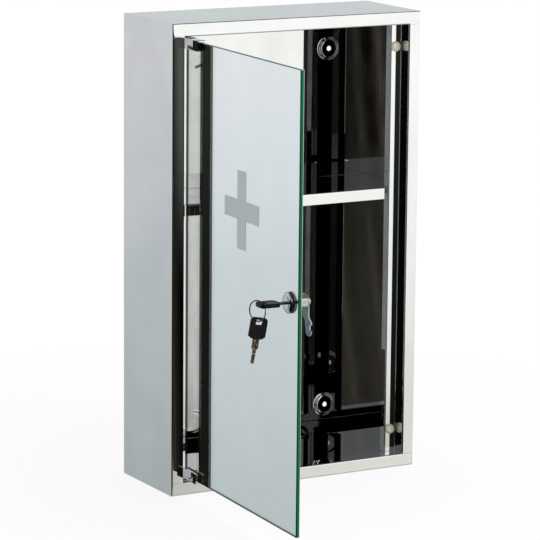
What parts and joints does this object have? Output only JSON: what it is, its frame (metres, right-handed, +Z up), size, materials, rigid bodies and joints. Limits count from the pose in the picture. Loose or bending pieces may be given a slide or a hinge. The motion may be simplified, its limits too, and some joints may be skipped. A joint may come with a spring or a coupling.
{
  "type": "lockable medicine cabinet",
  "caption": "Wall-hung steel medicine cabinet with a mirror-glass door on end pivots, a cam lock with keys on a ring, an inner shelf and door bumpers.",
  "frame": {"origin": "centre of the back face, on the wall plane and midway between the wall holes", "axes": "+X to the right seen from the front, +Y into the wall, +Z up"},
  "size_m": [0.3302, 0.3664, 0.5],
  "materials": {
    "polished_stainless": "mirror-polished stainless sheet",
    "brushed_stainless": "satin stainless sheet",
    "float_glass": "clear float glass, green at its ground edges",
    "silver_coat": "silvered, with grey backing paint",
    "white_film": "satin white vinyl film",
    "chrome": "bright chrome plating",
    "nickel": "bright nickel plating",
    "zinc_steel": "bright zinc plating",
    "bumper_rubber": "soft translucent PVC",
    "liner_rubber": "matt black rubber",
    "nylon": "natural nylon",
    "key_plastic": "satin black ABS",
    "key_metal": "dull nickel-brass, slightly tarnished"
  },
  "bodies": {
    "cabinet": {"left_side": "polished_stainless", "right_side": "polished_stainless", "top_panel": "polished_stainless", "bottom_panel": "polished_stainless", "back_panel": "brushed_stainless", "shelf": "polished_stainless", "shelf_supports": "brushed_stainless", "top_bumper": "bumper_rubber", "bottom_bumper": "bumper_rubber", "top_bush": "nylon", "bottom_bush": "nylon"},
    "door": {"door_glass": "float_glass", "mirror_coat": "silver_coat", "cross": "white_film", "top_clamp": "chrome", "bottom_clamp": "chrome", "top_liner": "liner_rubber", "bottom_liner": "liner_rubber", "top_pivot_pin": "zinc_steel", "bottom_pivot_pin": "zinc_steel", "clamp_screws": "zinc_steel", "lock_body": "chrome", "lock_nut": "chrome", "lock_washer": "zinc_steel", "lock_gasket": "liner_rubber"},
    "plug": {"lock_plug": "nickel", "cam": "zinc_steel", "cam_washer": "zinc_steel", "cam_screw": "zinc_steel"},
    "key": {"key_blade": "key_metal", "key_bow": "key_plastic"},
    "ring": {"key_ring": "nickel"},
    "spare_key": {"spare_key_blade": "key_metal", "spare_key_bow": "key_plastic"}
  },
  "joints": [
    {"name": "door_hinge", "type": "hinge", "parent": "cabinet", "child": "door", "pos_m": [-0.128, -0.1051, 0], "axis": [0, 0, 1], "range_deg": [-14, 93.4]},
    {"name": "lock_turn", "type": "hinge", "parent": "door", "child": "plug", "pos_m": [-0.14124, -0.34484, 0.0008], "axis": [-0.9982, 0.0593, 0], "range_deg": [0, 90]},
    {"name": "key_slide", "type": "slide", "parent": "plug", "child": "key", "axis": [-0.9982, 0.0593, 0], "range_m": [0, 0.03]},
    {"name": "ring_swing", "type": "hinge", "parent": "key", "child": "ring", "pos_m": [-0.17149, -0.33699, 0.0032], "axis": [0.3518, -0.9361, 0], "range_deg": [-18, 7]},
    {"name": "spare_key_swing", "type": "hinge", "parent": "ring", "child": "spare_key", "pos_m": [-0.17149, -0.33699, -0.01631], "axis": [0.007, 1, 0], "range_deg": [-20, 20]}
  ]
}
